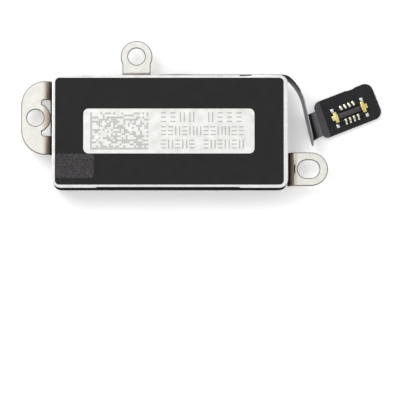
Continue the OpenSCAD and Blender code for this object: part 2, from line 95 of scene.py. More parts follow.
class Mat:
    """One node material, with short helpers for its graph."""

    def __init__(self, name):
        self.mat = bpy.data.materials.new(name)
        self.mat.use_nodes = True
        self.tree = self.mat.node_tree
        self.bsdf = self.tree.nodes["Principled BSDF"]
        self.coords = self.node("ShaderNodeTexCoord").outputs["Object"]

    def node(self, kind, **props):
        """A new node with its properties set."""
        n = self.tree.nodes.new(kind)
        for key, value in props.items():
            setattr(n, key, value)
        return n

    def link(self, a, b):
        self.tree.links.new(a, b)

    def put(self, value, socket):
        """A constant or a link on a socket."""
        if isinstance(value, (int, float, tuple, list)):
            socket.default_value = value
        else:
            self.link(value, socket)

    def noise(self, size, detail=3.0, rough=0.5, stretch=None):
        """Noise with features of about size, in millimetres."""
        n = self.node("ShaderNodeTexNoise")
        n.inputs["Scale"].default_value = 1 / (size * MM)
        n.inputs["Detail"].default_value = detail
        n.inputs["Roughness"].default_value = rough
        coords = self.coords
        if stretch:
            m = self.node("ShaderNodeMapping")
            m.inputs["Scale"].default_value = stretch
            self.link(coords, m.inputs["Vector"])
            coords = m.outputs[0]
        self.link(coords, n.inputs["Vector"])
        return n.outputs["Fac"]

    def range(self, value, low, high, to_low=0.0, to_high=1.0):
        """The value moved from the span low to high into another one, and held there."""
        n = self.node("ShaderNodeMapRange")
        n.inputs["From Min"].default_value = low
        n.inputs["From Max"].default_value = high
        n.inputs["To Min"].default_value = to_low
        n.inputs["To Max"].default_value = to_high
        self.link(value, n.inputs["Value"])
        return n.outputs[0]

    def mix(self, fac, a, b):
        """A colour between a and b."""
        n = self.node("ShaderNodeMix", data_type="RGBA")
        self.put(fac, n.inputs[MIX_FACTOR])
        self.put((*a, 1) if isinstance(a, tuple) else a, n.inputs[MIX_A])
        self.put((*b, 1) if isinstance(b, tuple) else b, n.inputs[MIX_B])
        return n.outputs[MIX_RESULT]

    def tones(self, noise_out, a, b):
        """A colour that runs from a to b with a noise."""
        return self.mix(self.range(noise_out, *TONE_SPAN), a, b)

    def math(self, op, a, b):
        """One sum of two values."""
        n = self.node("ShaderNodeMath", operation=op)
        self.put(a, n.inputs[0])
        self.put(b, n.inputs[1])
        return n.outputs[0]

    def axis(self, name):
        """One coordinate of the surface point, in millimetres."""
        s = self.node("ShaderNodeSeparateXYZ")
        self.link(self.coords, s.inputs[0])
        return self.math("DIVIDE", s.outputs[name], MM)

    def blend(self, a, b, share):
        """The sum of two noises, of which a has the given share."""
        return self.math("ADD", self.math("MULTIPLY", a, share), self.math("MULTIPLY", b, 1 - share))

    def bump(self, height, depth):
        """Bump whose full swing is depth, in millimetres."""
        n = self.node("ShaderNodeBump")
        n.inputs["Strength"].default_value = 1.0
        n.inputs["Distance"].default_value = depth * MM
        self.link(height, n.inputs["Height"])
        self.link(n.outputs[0], self.bsdf.inputs["Normal"])

    def set(self, socket, value):
        """A value on one of the shader's own sockets."""
        self.put(value, self.bsdf.inputs[socket])

    def rough(self, noise_out, low, high):
        """Roughness that runs from low to high with a noise."""
        self.set("Roughness", self.range(noise_out, *ROUGH_SPAN, low, high))


EVEN = (1, 1, 1)  # a grain that isn't stretched
FILM_MOTTLE, METAL_MOTTLE = 0.9, 0.7  # size of the wide blotches, in millimetres


def film(name, dark, light, rough, grain, depth, level):
    """Matt plastic film: a fine grain and a faint mottle."""
    m = Mat(name)
    mottle = m.noise(FILM_MOTTLE, 4)
    fine = m.noise(grain, 2)
    m.set("Base Color", m.tones(m.blend(mottle, fine, 0.5), dark, light))
    m.rough(fine, rough - 0.06, rough + 0.06)
    m.set("Specular IOR Level", level)
    m.bump(fine, depth)
    return m.mat


def metal(name, low, high, rough, stretch, grain, depth, edge=None):
    """Metal with a fine grain. The colour at a glancing angle is edge."""
    m = Mat(name)
    fine = m.noise(grain, 3, 0.6, stretch)
    wide = m.noise(METAL_MOTTLE, 3)
    both = m.blend(wide, fine, 0.6)
    m.set("Base Color", m.tones(both, low, high))
    m.set("Metallic", 1.0)
    m.rough(both, rough - 0.05, rough + 0.07)
    if edge:
        m.set("Specular Tint", (*edge, 1))
    m.bump(fine, depth)
    return m.mat


def ear_metal(name, axis, sign, wall, reach):
    """Satin nickel sheet with a painted brown shade through its bend, in place of the dark wall's
    reflection and shade there.

    The bend is at wall on the given axis, and the painted shade ends at reach from it (millimetres).
    """
    m = Mat(name)
    fine = m.noise(0.06, 3, 0.6)
    wide = m.noise(0.5, 3)
    bright = m.tones(wide, (0.69, 0.68, 0.63), (0.76, 0.75, 0.70))
    # distance from the bend, with a streaky wobble, that sets where the painted shade lies
    away = m.math("SUBTRACT", m.math("MULTIPLY", m.axis(axis), sign), wall)
    streak = m.noise(0.22, 4, 0.7, (6, 1, 1) if axis == "X" else (1, 6, 1))
    wobble = m.math("MULTIPLY", m.math("SUBTRACT", streak, 0.5), 0.3)
    near = m.range(m.math("ADD", away, wobble), 0.1, reach)
    # painted shade: a ramp from dark brown to the sheet's tone across the bend, standing in for the
    # dark wall's reflection
    shade = m.node("ShaderNodeValToRGB")
    shade.color_ramp.elements[0].color = (0.07, 0.05, 0.036, 1)
    shade.color_ramp.elements[1].color = (0.72, 0.70, 0.65, 1)
    mid = shade.color_ramp.elements.new(0.4)
    mid.color = (0.36, 0.29, 0.225, 1)
    m.link(near, shade.inputs[0])
    far = m.range(near, 0.85, 1.0)
    m.set("Base Color", m.mix(far, shade.outputs[0], bright))
    m.set("Metallic", 1.0)
    m.rough(fine, 0.3, 0.42)
    m.bump(fine, 0.0008)
    return m.mat


def tray_metal():
    """Drawn steel with painted light and shade: a bright front rim, a grey rounded edge and walls, and
    a dark south wall that is a painted dark reflection.
    """
    m = Mat("drawn_steel_painted_light_and_shade")
    lines = m.noise(0.04, 3, 0.6, (1, 1, 0.12))
    wide = m.noise(1.2, 3)
    # painted light and shade: one steel, bright on the flat front rim and grey on the rounded edge and
    # walls
    rim = m.tones(wide, (0.58, 0.55, 0.60), (0.72, 0.69, 0.73))
    edge = m.tones(wide, (0.24, 0.225, 0.26), (0.36, 0.34, 0.38))
    wall = m.tones(lines, (0.30, 0.285, 0.32), (0.42, 0.40, 0.44))
    # painted dark reflection for the south wall
    dark = m.tones(lines, (0.018, 0.018, 0.019), (0.04, 0.039, 0.042))
    height = m.axis("Z")
    tone = m.mix(m.range(height, 0.085, 0.16), rim, edge)
    tone = m.mix(m.range(height, 0.45, 0.75), tone, wall)
    # mask of the south wall's painted dark reflection, which also lowers its glancing tint and raises
    # its roughness
    south_wall = TRAY[0].y / MM
    south = m.range(m.axis("Y"), south_wall + 0.15, south_wall + 0.7, 1.0, 0.0)
    south = m.math("MULTIPLY", south, m.range(height, 0.12, 0.3))
    m.set("Base Color", m.mix(south, tone, dark))
    m.set("Metallic", 1.0)
    m.set("Specular Tint", m.mix(south, (0.2, 0.2, 0.205), (0.05, 0.05, 0.052)))
    rough = m.range(lines, *ROUGH_SPAN, 0.22, 0.34)
    m.set("Roughness", m.math("ADD", rough, m.math("MULTIPLY", south, 0.35)))
    m.bump(lines, 0.0005)
    return m.mat


def patch_rough():
    """Dark cloth-like patch with small bright specks."""
    m = Mat("rough_patch")
    cells = m.noise(0.16, 5, 0.75)
    spark = m.range(m.noise(0.07, 2), 0.62, 0.72)
    tone = m.tones(cells, (0.005, 0.0045, 0.005), (0.056, 0.051, 0.055))
    m.set("Base Color", m.mix(m.math("MULTIPLY", spark, 0.45), tone, (0.24, 0.225, 0.24)))
    m.set("Roughness", 0.6)
    m.set("Specular IOR Level", 0.3)
    m.bump(cells, 0.02)
    return m.mat


def copper_wire():
    """Enamelled copper wire."""
    m = Mat("enamelled_copper")
    tone = m.noise(0.3, 3)
    m.set("Base Color", m.tones(tone, (0.45, 0.17, 0.07), (0.66, 0.30, 0.14)))
    m.set("Metallic", 1.0)
    m.rough(tone, 0.25, 0.38)
    m.bump(m.noise(0.05, 2), 0.001)
    return m.mat


def floor_white():
    """Plain white board that gives off a little light, so the shadows on it stay faint."""
    m = Mat("white_board")
    m.set("Base Color", m.mix(m.range(m.noise(6, 3), 0.3, 0.7), (0.90, 0.90, 0.90), (0.92, 0.92, 0.92)))
    m.set("Roughness", 0.9)
    m.set("Specular IOR Level", 0.1)
    m.set("Emission Color", (1, 1, 1, 1))
    m.set("Emission Strength", 0.22)
    m.bump(m.noise(0.8, 2), 0.002)
    return m.mat


# film: dark tone, light tone, roughness, grain, bump depth, specular level
# metal: dark tone, light tone, roughness, stretch, grain, bump depth, glancing colour
MATS = {
    "front_label": film("front_film", (0.006, 0.006, 0.007), (0.010, 0.010, 0.011),
                        0.55, 0.06, 0.0012, 0.15),
    "back_label": film("back_film", (0.009, 0.009, 0.0097), (0.0135, 0.0135, 0.0145),
                       0.55, 0.06, 0.0014, 0.19),
    "cover": metal("cover_steel", (0.79, 0.77, 0.765), (0.88, 0.865, 0.86),
                   0.26, EVEN, 0.08, 0.0006),
    "cover_side": metal("cover_cut_edge", (0.22, 0.21, 0.21), (0.36, 0.35, 0.35),
                        0.35, (1, 1, 0.2), 0.04, 0.002, (0.2, 0.2, 0.2)),
    "tray": tray_metal(),
    "id_plate": metal("id_foil", (0.66, 0.655, 0.635), (0.79, 0.785, 0.77),
                      0.42, EVEN, 0.05, 0.0015),
    "mark": metal("etched_mark", (0.41, 0.41, 0.395), (0.51, 0.505, 0.49),
                  0.55, EVEN, 0.05, 0.002),
    "patch": patch_rough(),
    # dark cut edges, also put on rounded rims as a painted dark reflection
    "ear_edge_and_painted_rim": metal("ear_cut_edge_and_painted_rim", (0.10, 0.095, 0.088), (0.22, 0.21, 0.20),
                      0.4, (1, 1, 0.15), 0.04, 0.003, (0.25, 0.24, 0.23)),
    "weld": metal("weld_steel", (0.28, 0.25, 0.24), (0.42, 0.39, 0.38),
                  0.45, EVEN, 0.06, 0.004),
    "sealant": film("black_sealant", (0.003, 0.003, 0.0045), (0.007, 0.007, 0.0095),
                    0.24, 0.4, 0.004, 0.3),
    "flex": film("flex_film", (0.0095, 0.009, 0.011), (0.0155, 0.015, 0.018),
                 0.45, 0.09, 0.0008, 0.18),
    # painted shade: the neck's valley film darker than the strip's own film
    "neck": film("neck_film", (0.004, 0.004, 0.0045), (0.009, 0.009, 0.010),
                 0.42, 0.09, 0.0008, 0.12),
    # painted highlight on the neck's ridge
    "neck_ridge": film("neck_ridge_painted_highlight", (0.125, 0.122, 0.132), (0.185, 0.18, 0.195),
                       0.4, 0.09, 0.0008, 0.4),
    # the strip's inner face: the same film painted lighter, a painted sheen
    "flex_painted_sheen": film("flex_face_painted_sheen", (0.075, 0.075, 0.08), (0.125, 0.125, 0.132),
                       0.4, 0.12, 0.002, 0.4),
    "flex_edge": film("flex_cut_edge", (0.17, 0.17, 0.18), (0.30, 0.30, 0.315),
                      0.4, 0.12, 0.002, 0.6),
    "flex_light": film("flex_neck_film", (0.036, 0.034, 0.042), (0.057, 0.054, 0.065),
                       0.36, 0.1, 0.0008, 0.4),
    "inner_flex": film("amber_film", (0.22, 0.10, 0.02), (0.33, 0.17, 0.04),
                       0.4, 0.2, 0.001, 0.5),
    "stiffener": metal("stiffener_steel", (0.87, 0.845, 0.79), (0.93, 0.91, 0.87),
                       0.45, EVEN, 0.05, 0.0008),
    "housing": film("connector_plastic", (0.007, 0.007, 0.008), (0.014, 0.014, 0.016),
                    0.4, 0.05, 0.001, 0.3),
    "island": film("connector_island", (0.033, 0.029, 0.033), (0.053, 0.046, 0.053),
                   0.45, 0.1, 0.001, 0.35),
    "contact": metal("plated_contact", (0.62, 0.59, 0.47), (0.80, 0.78, 0.68),
                     0.3, EVEN, 0.06, 0.001),
    "gold": metal("gold_contact", (0.62, 0.49, 0.16), (0.78, 0.67, 0.33),
                  0.28, EVEN, 0.08, 0.001),
    "solder": metal("solder", (0.58, 0.58, 0.59), (0.76, 0.76, 0.77),
                    0.3, EVEN, 0.09, 0.003),
    "copper": copper_wire(),
    "stop": metal("stop_steel", (0.42, 0.42, 0.44), (0.55, 0.55, 0.57),
                  0.35, (1, 0.15, 1), 0.05, 0.001),
    "spring": metal("spring_steel", (0.58, 0.58, 0.60), (0.72, 0.72, 0.74),
                    0.2, (0.15, 0.15, 1), 0.04, 0.0006),
    "alloy": metal("heavy_alloy", (0.17, 0.17, 0.175), (0.26, 0.26, 0.265),
                   0.42, EVEN, 0.03, 0.002),
    "magnet": metal("magnet_nickel", (0.50, 0.49, 0.48), (0.62, 0.61, 0.60),
                    0.22, EVEN, 0.2, 0.001),
    "sensor": film("sensor_epoxy", (0.008, 0.008, 0.009), (0.014, 0.014, 0.015),
                   0.4, 0.05, 0.001, 0.5),
}


# ---------------------------------------------------------------- mesh helpers
MERGE = 0.0008 * MM
FLAT_ANGLE = math.radians(1)
SHARP_ANGLE = math.radians(50)
LEAF_ANGLE = math.radians(35)
FACE_WEIGHT = 60


def from_bm(name, bm, materials, smooth=True):
    """An object in the scene from a bmesh, with outward normals."""
    mesh = bpy.data.meshes.new(name)
    bmesh.ops.recalc_face_normals(bm, faces=bm.faces)
    bm.to_mesh(mesh)
    bm.free()
    obj = bpy.data.objects.new(name, mesh)
    bpy.context.scene.collection.objects.link(obj)
    for m in materials:
        mesh.materials.append(m)
    for p in mesh.polygons:
        p.use_smooth = smooth
    return obj


def apply_modifiers(obj):
    """Turns the modifiers' result into the object's own mesh."""
    dg = bpy.context.evaluated_depsgraph_get()
    mesh = bpy.data.meshes.new_from_object(obj.evaluated_get(dg))
    obj.modifiers.clear()
    obj.data = mesh


def round_edges(obj, width, segments, rim, clamp=True):
    """Rounds the sharp edges and keeps the large faces flat under smooth shading."""
    mod = obj.modifiers.new("round", "BEVEL")
    mod.use_clamp_overlap = clamp
    mod.width = width * MM
    mod.segments = segments
    mod.limit_method = "ANGLE"
    mod.angle_limit = SHARP_ANGLE
    mod.material = rim
    apply_modifiers(obj)
    shade_by_angle(obj, SHARP_ANGLE)
    mod = obj.modifiers.new("normals", "WEIGHTED_NORMAL")
    mod.keep_sharp = True
    mod.weight = FACE_WEIGHT
    apply_modifiers(obj)


def shade_by_angle(obj, angle):
    """Smooth shading with sharp edges kept where faces meet at a larger angle."""
    obj.data.polygons.foreach_set("use_smooth", [True] * len(obj.data.polygons))
    obj.data.set_sharp_from_angle(angle=angle)


def softened(name, node, width, mats, body, segments=2, face_mat=None, rim=0, clamp=True):
    """A copy of a CAD node with its sharp edges rounded, which replaces the node.

    The width is in millimetres, rim is the rounding's own material, and face_mat gives each
    other face its material.
    """
    bm = bmesh.new()
    bm.from_mesh(nodes[node].data)
    bmesh.ops.remove_doubles(bm, verts=bm.verts, dist=MERGE)
    bmesh.ops.dissolve_limit(bm, angle_limit=FLAT_ANGLE, verts=bm.verts, edges=bm.edges)
    obj = from_bm(name, bm, mats)
    if face_mat:
        for p in obj.data.polygons:
            p.material_index = face_mat(p)
    round_edges(obj, width, segments, rim, clamp)
    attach(obj, body)
    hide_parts(node)


def paint(node, mat):
    """Gives a CAD node that stays its material."""
    obj = nodes[node]
    obj.data.materials.clear()
    obj.data.materials.append(mat)


def box_into(bm, low, high):
    """Adds a box between two corners."""
    verts = [bm.verts.new((x, y, z)) for x in (low[0], high[0]) for y in (low[1], high[1])
             for z in (low[2], high[2])]
    for q in ((0, 1, 3, 2), (4, 6, 7, 5), (0, 4, 5, 1), (2, 3, 7, 6), (0, 2, 6, 4), (1, 5, 7, 3)):
        bm.faces.new([verts[i] for i in q])


def grid_faces(bm, rows, closed_u=False, mat_of=None):
    """Faces between rows of vertices, where mat_of gives a face's material."""
    for i in range(len(rows) - 1):
        n = len(rows[i])
        for j in range(n if closed_u else n - 1):
            k = (j + 1) % n
            f = bm.faces.new((rows[i][j], rows[i][k], rows[i + 1][k], rows[i + 1][j]))
            f.material_index = mat_of(i, j) if mat_of else 0


# ---------------------------------------------------------------- case
EAR_ROUND = 0.075
EAR_SHEET_DEPTH = 0.4 * MM  # cut edges show only this far below an ear's top

PATCH_CELLS = (96, 62)
PATCH_CORNER = 0.3 * MM
PATCH_RIM = 0.03 * MM  # how far its rim turns down
PATCH_LEAST = 0.006 * MM

MARK_SINK, MARK_RISE = 0.01 * MM, 0.004 * MM
CELL, CELL_GAP = 0.19 * MM, 0.01 * MM
CODE_COLS, CODE_ROWS = 28, 18
CODE_FROM_LEFT = 0.62 * MM
CODE_FILL = 0.47
SIGNS_FROM_LEFT = 7.08 * MM
SIGN_W, STROKE = 0.46 * MM, 0.11 * MM
LEVEL_SHARE = 0.55
# for each row of signs: its middle, height and step in millimetres, how many, and the gap
SIGN_ROWS = (
    (1.27, 0.90, 0.86, 9, 4),
    (0.03, 0.82, 0.645, 12, None),
    (-1.2, 0.82, 0.645, 12, 5),
)

TRAY_EDGE_R = 0.5 * MM
SEALANT_STEPS = (40, 26)
SEALANT_SINK = 0.01 * MM
SEALANT_FACE_H = 0.07 * MM  # height over the front face
SEALANT_LOW = 0.004 * MM  # nothing of it is lower than this
LUMP_SIZE = 0.7 * MM


def upright(p):
    """1 on faces that stand upright, 0 on the others."""
    return 1 if abs(p.normal.z) < 0.3 else 0


def make_case():
    """The labels keep their CAD shape. The steel pieces get rounded edges."""
    paint("front_label", MATS["front_label"])
    paint("back_label", MATS["back_label"])
    softened("cover_plate", "case_cover", 0.025, [MATS["cover"], MATS["cover_side"]], CASE,
             face_mat=upright)
    softened("tray_shell", "case_tray", 0.02, [MATS["tray"]], CASE)
    softened("id_foil", "id_plate", 0.012, [MATS["id_plate"]], CASE)
    softened("weld_marks", "ear_welds", 0.012, [MATS["weld"]], CASE)


def make_ears():
    """The three bent ears, with darker cut edges and a painted dark reflection on their rounded rims.
    """
    tray_x, tray_y = TRAY[1].x / MM, TRAY[1].y / MM
    for node, axis, sign, wall, reach in (
        ("west_ear", "X", -1, tray_x, 1.0),
        ("east_ear", "X", 1, tray_x, 1.0),
        ("north_ear", "Y", 1, tray_y, 0.4),
    ):
        sheet = ear_metal(node + "_sheet", axis, sign, wall, reach)
        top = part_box(node)[1].z

        def cut_or_sheet(p, top=top):
            near_top = p.center.z > top - EAR_SHEET_DEPTH
            return 1 if near_top and abs(p.normal.z) < 0.05 else 0

        # the rounded rims take the dark edge material too: a painted dark reflection
        softened(node + "_plate", node, EAR_ROUND, [sheet, MATS["ear_edge_and_painted_rim"]], CASE, 3,
                 cut_or_sheet, 1, False)


def patch_height(p):
    """Height of the patch's uneven face over its plane, in millimetres."""
    return noise.fractal(p * 7, 0.7, 2.1, 4) * 0.016 + noise.noise(p * 1.6) * 0.012


def make_patch():
    """The rough patch: a thin sheet whose upper face is uneven."""
    lo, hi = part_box("ground_patch")
    nx, ny = PATCH_CELLS
    r = PATCH_CORNER
    mid_x, mid_y = (lo.x + hi.x) / 2, (lo.y + hi.y) / 2
    half_x, half_y = (hi.x - lo.x) / 2, (hi.y - lo.y) / 2
    bm = bmesh.new()
    rows = []
    for j in range(ny + 1):
        row = []
        for i in range(nx + 1):
            x = lo.x + (hi.x - lo.x) * (i / nx)
            y = lo.y + (hi.y - lo.y) * (j / ny)
            d = math.hypot(max(abs(x - mid_x) - half_x + r, 0), max(abs(y - mid_y) - half_y + r, 0))
            if d > r:
                # outside the rounded corner: pulled in to its arc
                cx = math.copysign(half_x - r, x - mid_x) + mid_x
                cy = math.copysign(half_y - r, y - mid_y) + mid_y
                x, y = cx + (x - cx) * r / d, cy + (y - cy) * r / d
            at_rim = min(i, j, nx - i, ny - j) == 0
            rise = -PATCH_RIM if at_rim else patch_height(Vector((x, y, 0)) / MM) * MM
            row.append(bm.verts.new((x, y, max(hi.z + rise, lo.z + PATCH_LEAST))))
        rows.append(row)
    grid_faces(bm, rows)
    obj = from_bm("rough_patch", bm, [MATS["patch"]])
    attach(obj, CASE)
    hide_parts("ground_patch")


def make_code(left, mid_y, low, high):
    """A field of seeded cells with a full left and lower side, which encodes nothing."""
    bm = bmesh.new()
    y0 = mid_y - CODE_ROWS * CELL / 2
    filled = [[rng.random() < CODE_FILL for _ in range(CODE_COLS)] for _ in range(CODE_ROWS)]
    for j in range(CODE_ROWS):
        for i in range(CODE_COLS):
            dashed_side = j % 2 == 0 and i == CODE_COLS - 1
            if filled[j][i] or i == 0 or dashed_side or j == 0:
                box_into(bm, (left + i * CELL + CELL_GAP, y0 + j * CELL + CELL_GAP, low),
                         (left + (i + 1) * CELL - CELL_GAP, y0 + (j + 1) * CELL - CELL_GAP, high))
    return from_bm("code_cells", bm, [MATS["mark"]], smooth=False)


def make_signs(left, mid_y, low, high):
    """Three rows of signs, each a stack of level strokes or a pair of upright ones."""
    bm = bmesh.new()
    for row_y, height, step, count, gap in SIGN_ROWS:
        y = mid_y + row_y * MM
        h = height * MM / 2
        for k in range(count):
            if k == gap:
                continue
            x = left + k * step * MM
            if rng.random() < LEVEL_SHARE:
                for level in (-1, 0, 1):
                    yc = y + level * (h - STROKE / 2)
                    box_into(bm, (x, yc - STROKE / 2, low), (x + SIGN_W, yc + STROKE / 2, high))
            else:
                box_into(bm, (x, y - h, low), (x + STROKE, y + h, high))
                box_into(bm, (x + SIGN_W - STROKE, y - h, low), (x + SIGN_W, y + h, high))
    return from_bm("plain_strokes", bm, [MATS["mark"]], smooth=False)


def make_marks():
    """Generic identity marks on the plate."""
    lo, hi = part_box("id_plate")
    mid_y = (lo.y + hi.y) / 2
    low, high = hi.z - MARK_SINK, hi.z + MARK_RISE
    code = make_code(lo.x + CODE_FROM_LEFT, mid_y, low, high)
    signs = make_signs(lo.x + SIGNS_FROM_LEFT, mid_y, low, high)
    for obj in (code, signs):
        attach(obj, CASE)


def tray_surface(d, low_y, flat, arc):
    """Point and normal at length d of a path over the front face, its edge and the north wall."""
    wall = TRAY[1].y
    face = TRAY[0].z
    r = TRAY_EDGE_R
    if d < flat:
        return Vector((0, low_y + d, face)), Vector((0, 0, -1))
    if d < flat + arc:
        g = (d - flat) / r
        normal = Vector((0, math.sin(g), -math.cos(g)))
        return Vector((0, wall - r, face + r)) + normal * r, normal
    return Vector((0, wall, face + r + d - flat - arc)), Vector((0, 1, 0))


def make_sealant():
    """A glossy bulge on the north wall that wraps round the tray's lower edge."""
    lo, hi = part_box("cable_sealant")
    mid_x = (lo.x + hi.x) / 2
    half = (hi.x - lo.x) / 2
    flat = TRAY[1].y - TRAY_EDGE_R - lo.y
    arc = TRAY_EDGE_R * math.pi / 2
    up = hi.z - TRAY[0].z - TRAY_EDGE_R
    n_u, n_s = SEALANT_STEPS
    bm = bmesh.new()
    rows = []
    for i in range(n_u + 1):
        a = math.pi * i / n_u
        swell = math.sin(a) ** 0.6
        x = mid_x - half * math.cos(a)
        begin = flat * (1 - math.sin(a) ** 0.9)
        row = []
        for k in range(n_s + 1):
            f = k / n_s
            d = begin + f * (flat + arc + up - begin)
            p, normal = tray_surface(d, lo.y, flat, arc)
            body = math.sin(math.pi * min(1.0, 0.05 + f * 0.95)) ** 0.35
            lump = 1 + 0.12 * noise.noise(Vector((x, p.y, p.z)) / LUMP_SIZE)
            thick = 0.05 + 0.27 * max(0.0, min(1.0, (d - flat * 0.6) / (arc + 0.3 * MM)))
            h = swell * body * lump * thick * MM
            if normal.z < -0.9:
                h = min(h, SEALANT_FACE_H)
            q = p + normal * (h - SEALANT_SINK)
            row.append(bm.verts.new((x, q.y, max(q.z, SEALANT_LOW))))
        rows.append(row)
    grid_faces(bm, rows)
    obj = from_bm("sealant_bead", bm, [MATS["sealant"]])
    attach(obj, CASE)
    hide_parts("cable_sealant")


# ---------------------------------------------------------------- tail and neck
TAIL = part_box("flex_tail")
T = 0.12 * MM  # thickness of the film
TAIL_W = 1.7 * MM
TAIL_Z1 = TAIL[1].z
TAIL_Z0 = TAIL_Z1 - TAIL_W
TAIL_Y = TAIL[1].y - T / 2
TURN_X = 10.12 * MM
BENDS = ((1.1 * MM, 42), (4.4 * MM, 35))  # radius and turn in degrees
END_L = 3.85 * MM
TAIL_L = sum(r * math.radians(turn) for r, turn in BENDS) + END_L
START_X = 1.2 * MM
LEAN = 0.19 * MM
LEAN_IN, LEAN_OUT = 0.9 * MM, 1.3 * MM  # lengths over which the lean comes and goes
TIP_L, TIP_CUT = 0.8 * MM, 0.9 * MM
DARK_EDGE_L = 2.4 * MM
EDGE_STEPS = 6
WALL_STEPS, BEND_STEPS = 24, 70
HEAD_TURN = math.radians(21.5)
HEAD_U = Vector((math.cos(HEAD_TURN), math.sin(HEAD_TURN), 0))
HEAD_V = Vector((-math.sin(HEAD_TURN), math.cos(HEAD_TURN), 0))


def tail_centre(s):
    """Point and heading (radians) at arc length s from the first bend's start."""
    p = Vector((TURN_X, TAIL_Y, 0))
    if s <= 0:
        return p + Vector((s, 0, 0)), 0.0
    heading = 0.0
    for r, deg in BENDS:
        a = math.radians(deg)
        c = p + r * Vector((math.sin(heading), -math.cos(heading), 0))
        part = min(s / r, a)
        h = heading - part
        q = c + r * Vector((-math.sin(h), math.cos(h), 0))
        if s <= r * a:
            return q, h
        s -= r * a
        p, heading = q, h
    return p + s * Vector((math.cos(heading), math.sin(heading), 0)), heading


def unit(value):
    """The value held between 0 and 1."""
    return max(0.0, min(1.0, value))


def tail_lean(s):
    """How far the tail's lower edge stands towards the case from its upper edge (negative)."""
    f = unit(s / LEAN_IN)
    end = unit((TAIL_L - s) / LEAN_OUT)
    return -LEAN * f * f * (3 - 2 * f) * (0.2 + 0.8 * end * (2 - end))


def ribbon_ring(centre, heading, low, high, lean, pinch=1.0):
    """Cross-section of the standing strip: flat faces and rounded edges."""
    out = Vector((-math.sin(heading), math.cos(heading), 0))
    r = T / 2 * pinch
    ring = []
    for edge, sign in ((high, 1), (low, -1)):
        for k in range(EDGE_STEPS + 1):
            a = math.pi * k / EDGE_STEPS
            side = math.cos(a) * sign * r
            z = edge - sign * r * 0.8 * (1 - math.sin(a))
            f = (z - (low + high) / 2) / (high - low)
            ring.append(centre + out * (side - lean * f) + Vector((0, 0, z)))
    return ring


def make_tail():
    """The strip from the sealant along the wall, round the corner, to its tip."""
    bm = bmesh.new()
    rows = []
    stations = [START_X - TURN_X + i * (TURN_X - START_X) / WALL_STEPS for i in range(WALL_STEPS)]
    stations += [TAIL_L * i / BEND_STEPS for i in range(BEND_STEPS + 1)]
    for s in stations:
        c, h = tail_centre(s)
        end = TAIL_L - s
        # the tip's upper corner is cut back in a soft curve, and the tip thins out
        near = max(0.0, 1 - end / TIP_L)
        cut = TIP_CUT * near ** 2
        ring = ribbon_ring(c, h, TAIL_Z0, TAIL_Z1 - cut, tail_lean(s), 1 - 0.5 * near)
        rows.append([bm.verts.new(p) for p in ring])
    outer_face = len(rows[0]) - 1
    inner_face = len(rows[0]) // 2 - 1

    def edge_or_face(i, j):
        # the inner face takes the painted sheen
        if j == inner_face:
            return 2
        return 1 if stations[i] > DARK_EDGE_L and j != outer_face else 0

    grid_faces(bm, rows, closed_u=True, mat_of=edge_or_face)
    bm.faces.new(rows[0])
    bm.faces.new(rows[-1])
    obj = from_bm("tail_strip", bm, [MATS["flex"], MATS["flex_edge"], MATS["flex_painted_sheen"]])
    shade_by_angle(obj, SHARP_ANGLE)
    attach(obj, CASE)
    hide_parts("flex_tail")


HEAD_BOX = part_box("head_flex")
HEAD_L = 5.65 * MM
HEAD_W = 3.45 * MM
HEAD_SKEW = 0.16 * MM
HEAD_Z = (HEAD_BOX[0].z + HEAD_BOX[1].z) / 2
NECK_W = 2.4 * MM
NECK_V = -0.2 * MM
NECK_TOP_W = 2.95 * MM
NECK_STEPS = (28, 26)  # across it, and from the strip to the head
NECK_TIP, NECK_OVERLAP = 0.02 * MM, 0.05 * MM
NECK_INSET = 0.1 * MM  # how much less than the head's end it takes of the strip
NECK_SAG, NECK_LOW = 0.14 * MM, 0.08 * MM
PULL_TIP, PULL_TOP = 0.34 * MM, 0.08 * MM  # how far its two free edges curve in
RIDGE_FROM, RISE_FROM = 21, 18  # steps at which its tone changes from painted shade to a mid tone and then to a painted highlight


def head_point(u, v, z):
    """A point in the head's own directions."""
    return HEAD_CENTRE + HEAD_U * u + HEAD_V * v + Vector((0, 0, z))


def find_head_centre():
    """The head's own centre: the middle of its extent along u and v."""
    us, vs = [], []
    for vert in nodes["head_flex"].data.vertices:
        us.append(vert.co.dot(HEAD_U))
        vs.append(vert.co.dot(HEAD_V))
    return HEAD_U * (max(us) - HEAD_L / 2) + HEAD_V * (min(vs) + max(vs)) / 2


HEAD_CENTRE = find_head_centre()


def root_u(v):
    """The head's slightly skewed edge at the neck."""
    return -HEAD_L / 2 - HEAD_SKEW * (0.5 - v / HEAD_W)


def neck_surface(k, f):
    """Point on the neck's middle surface: k across it, f from the strip to the head."""
    g = f * math.pi / 2
    s_low = TAIL_L - NECK_TIP
    s_high = TAIL_L - NECK_TIP - NECK_INSET - NECK_TOP_W
    s = s_low + (s_high - s_low) * k
    c, h = tail_centre(s)
    out = Vector((-math.sin(h), math.cos(h), 0))
    a = c + out * tail_lean(s) / 2 + Vector((0, 0, TAIL_Z0 + T / 4))
    v = NECK_V + (k - 0.5) * NECK_W
    b = head_point(root_u(v) + NECK_OVERLAP, v, HEAD_Z)
    q = a + (b - a) * (1 - math.cos(g))
    q.z = a.z + (b.z - a.z) * math.sin(g)
    # the film sags below the head's plane beside it and rises to it in a soft ridge
    sag = NECK_SAG * math.sin(math.pi * unit((f - 0.45) / 0.5))
    q.z = max(q.z - sag, NECK_LOW)
    pull = PULL_TIP if k < 0.5 else -PULL_TOP
    return q + HEAD_V * pull * math.sin(math.pi * f ** 0.8) ** 0.8 * abs(2 * k - 1) ** 3


def neck_tone(_across, along):
    """Painted shade in the valley beside the strip, a painted highlight on the ridge at the head's
    edge, and a mid tone between.
    """
    if along < RISE_FROM:
        return 0
    return 2 if along < RIDGE_FROM else 1


